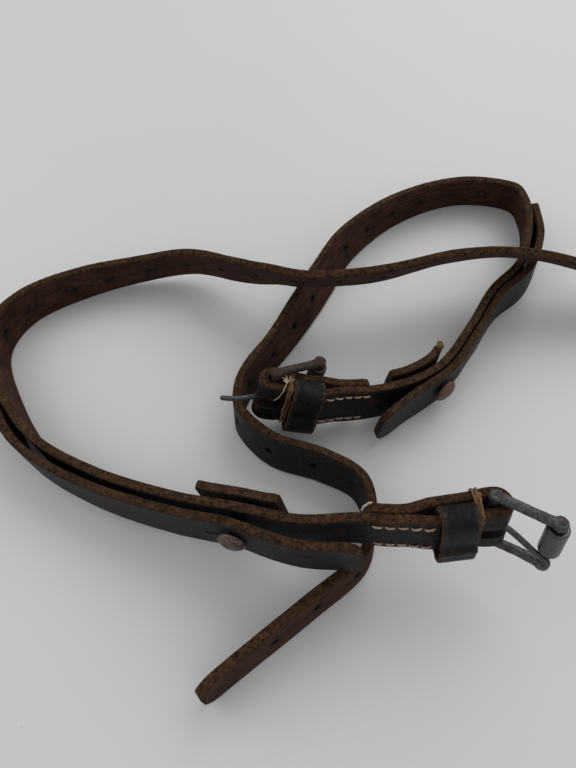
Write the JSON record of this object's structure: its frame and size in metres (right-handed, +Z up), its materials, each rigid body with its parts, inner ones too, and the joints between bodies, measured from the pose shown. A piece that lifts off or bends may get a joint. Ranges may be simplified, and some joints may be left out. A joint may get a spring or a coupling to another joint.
{
  "type": "pair of leather brace straps",
  "caption": "Pair of narrow leather brace straps on edge, each with a roller buckle, a fixed keeper, a stud, a buttoned overlay strap and punched holes.",
  "frame": {"origin": "on the table, under the middle of the pair's bounding box", "axes": "+X to the right, +Y away from the viewer, +Z up from the table"},
  "size_m": [0.2455, 0.1956, 0.0436],
  "materials": {
    "brown_leather": "worn flesh side, matt",
    "black_leather": "cracked grain side, satin",
    "old_steel": "worn, lightly rusted",
    "satin_steel": "satin, slightly dulled",
    "cream_thread": "waxed, frayed"
  },
  "bodies": {
    "right_strap": {"right_main_strap": "brown_leather", "right_overlay_strap": "black_leather", "right_stud": "old_steel", "right_stud_washer": "old_steel", "right_stud_patch": "black_leather", "right_keeper": "black_leather", "right_keeper_thread": "cream_thread", "right_upper_stitches": "cream_thread", "right_lower_stitches": "cream_thread", "right_join_stitches": "cream_thread"},
    "right_buckle": {"right_buckle_frame": "old_steel"},
    "right_bar_roller": {"right_roller": "satin_steel"},
    "right_buckle_tongue": {"right_tongue": "old_steel"},
    "left_strap": {"left_main_strap": "brown_leather", "left_overlay_strap": "black_leather", "left_stud": "old_steel", "left_stud_washer": "old_steel", "left_stud_patch": "black_leather", "left_keeper": "black_leather", "left_keeper_thread": "cream_thread", "left_upper_stitches": "cream_thread", "left_lower_stitches": "cream_thread", "left_join_stitches": "cream_thread"},
    "left_buckle": {"left_buckle_frame": "old_steel"},
    "left_bar_roller": {"left_roller": "satin_steel"},
    "left_buckle_tongue": {"left_tongue": "old_steel"}
  },
  "joints": [
    {"name": "left_strap_lift", "type": "slide", "parent": "right_strap", "child": "left_strap", "axis": [0, 0, 1], "range_m": [0, 0.035]},
    {"name": "left_buckle_swing", "type": "hinge", "parent": "left_strap", "child": "left_buckle", "pos_m": [0.03581, -0.05482, 0.02906], "axis": [-0.1002, 0.1979, 0.9751], "range_deg": [-20, 140]},
    {"name": "left_roller_spin", "type": "hinge", "parent": "left_buckle", "child": "left_bar_roller", "pos_m": [0.04872, -0.06287, 0.03202], "axis": [-0.1002, 0.1979, 0.9751], "continuous": true},
    {"name": "left_tongue_swing", "type": "hinge", "parent": "left_buckle", "child": "left_buckle_tongue", "pos_m": [0.03581, -0.05482, 0.02906], "axis": [-0.1002, 0.1979, 0.9751], "range_deg": [-40, 0]},
    {"name": "right_buckle_swing", "type": "hinge", "parent": "right_strap", "child": "right_buckle", "pos_m": [-0.0225, -0.01118, 0.01844], "axis": [0.2107, 0.1471, 0.9664], "range_deg": [-2, 57]},
    {"name": "right_roller_spin", "type": "hinge", "parent": "right_buckle", "child": "right_bar_roller", "pos_m": [-0.00905, -0.00455, 0.0145], "axis": [0.2107, 0.1471, 0.9664], "continuous": true},
    {"name": "right_tongue_swing", "type": "hinge", "parent": "right_strap", "child": "right_buckle_tongue", "pos_m": [-0.0225, -0.01118, 0.01844], "axis": [0.2107, 0.1471, 0.9664], "range_deg": [-45, 65]}
  ]
}
